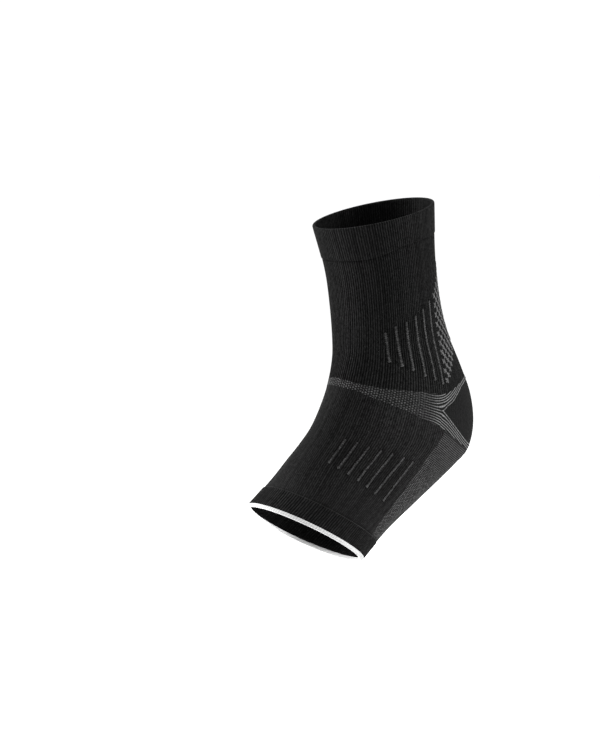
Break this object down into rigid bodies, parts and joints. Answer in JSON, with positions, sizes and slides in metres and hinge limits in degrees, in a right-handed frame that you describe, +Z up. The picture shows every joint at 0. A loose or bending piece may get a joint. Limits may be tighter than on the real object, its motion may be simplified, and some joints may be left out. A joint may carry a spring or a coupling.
{
  "type": "arch support sleeve",
  "caption": "Knitted compression sleeve for the ankle, heel and arch, open at the leg and toes, with ribbed panels, a heel cup and a white toe band.",
  "frame": {"origin": "middle of the ankle, where the axis of the leg meets the axis of the foot", "axes": "+Z up along the leg, toes towards -Y, +X to one side; the sleeve is alike on both sides of X = 0"},
  "size_m": [0.0904, 0.1754, 0.2439],
  "materials": {
    "cuff_knit": "fine ribbed double knit, charcoal",
    "ribbed_knit": "ribbed compression knit, black",
    "melange_knit": "grey melange knit",
    "heel_knit": "smooth plain knit, black",
    "white_knit": "white welt knit"
  },
  "bodies": {
    "root": {"leg_cuff": "cuff_knit", "leg_panel": "ribbed_knit", "ankle_strap": "melange_knit", "heel_cup": "heel_knit", "foot_panel": "ribbed_knit", "sole_panel": "melange_knit", "toe_cuff": "cuff_knit", "toe_edge": "white_knit"}
  },
  "joints": []
}
